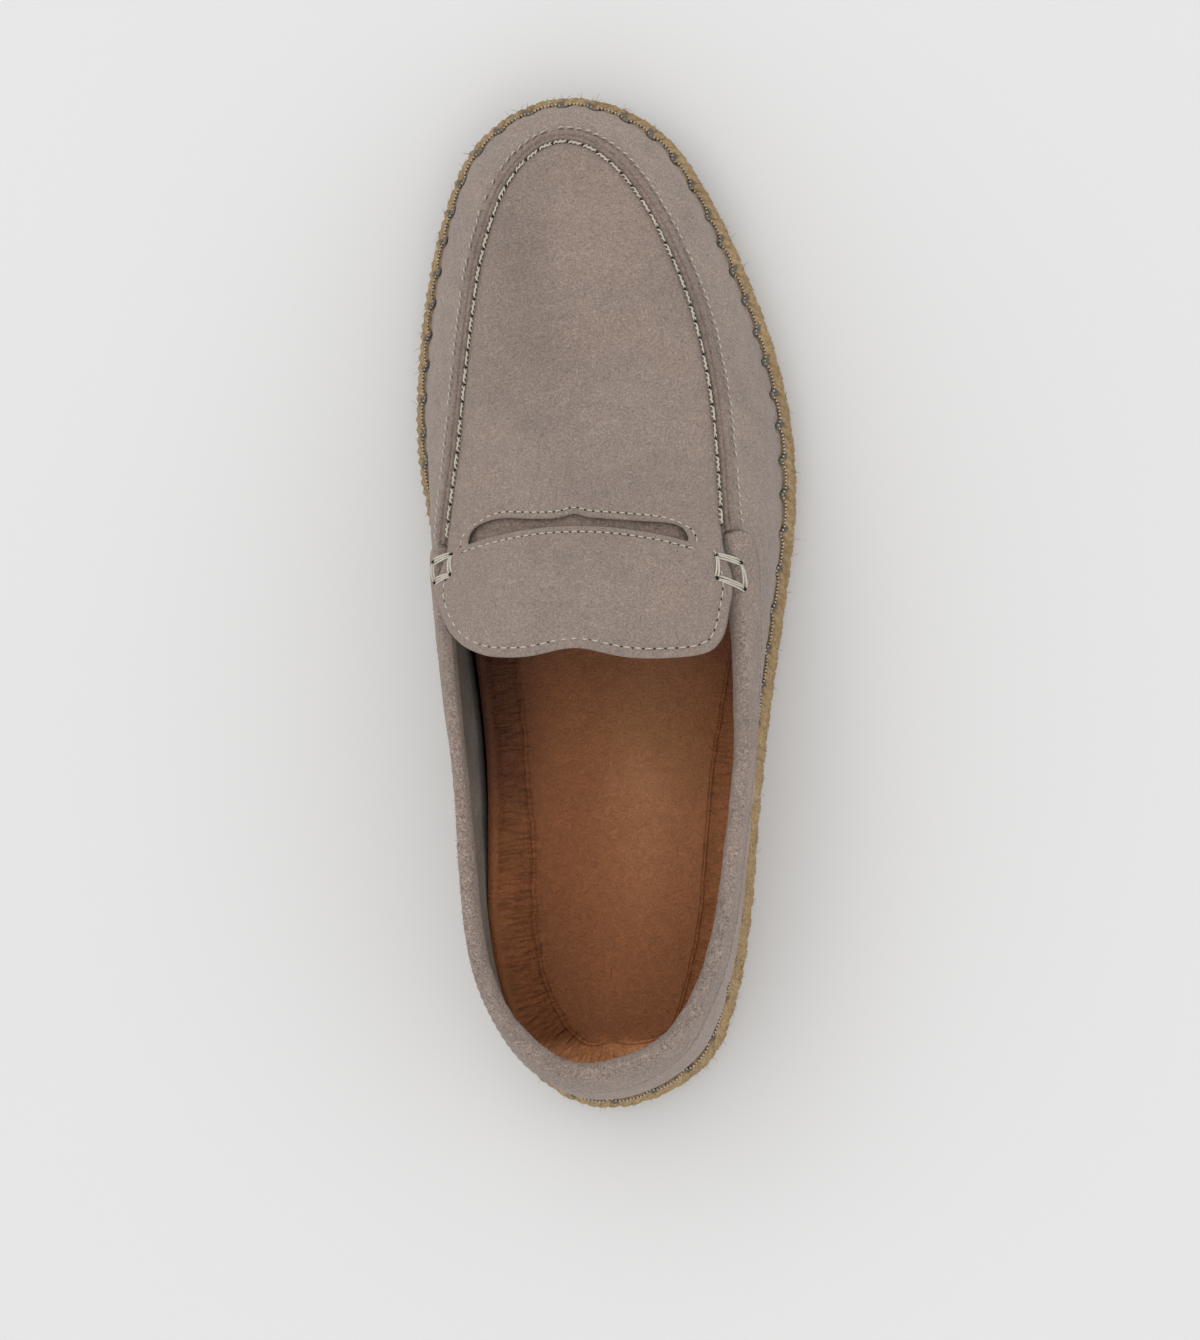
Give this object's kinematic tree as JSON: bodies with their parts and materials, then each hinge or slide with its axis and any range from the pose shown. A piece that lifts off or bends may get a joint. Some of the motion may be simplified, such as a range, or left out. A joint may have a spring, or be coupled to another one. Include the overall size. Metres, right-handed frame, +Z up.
{
  "type": "slip-on shoe",
  "caption": "Low slip-on shoe for the right foot with a moccasin seam, a wide tongue flap over a padded collar, a cupped footbed and a roped sole on a thin tread.",
  "frame": {"origin": "middle of the bounding box in plan, on the floor the sole rests on", "axes": "+Z up, +Y from the heel to the toe, +X to the outer side of the right foot"},
  "size_m": [0.1084, 0.2916, 0.0919],
  "materials": {
    "outsole": "matte moulded rubber",
    "midsole": "wound jute rope",
    "footbed": "smooth lining leather with a soft sheen",
    "upper": "brushed suede",
    "apron_tongue": "brushed suede",
    "collar": "padded suede with a longer nap"
  },
  "bodies": {
    "root": {"outsole": "outsole", "midsole": "midsole", "footbed": "footbed", "upper": "upper", "apron_tongue": "apron_tongue", "collar": "collar"}
  },
  "joints": []
}
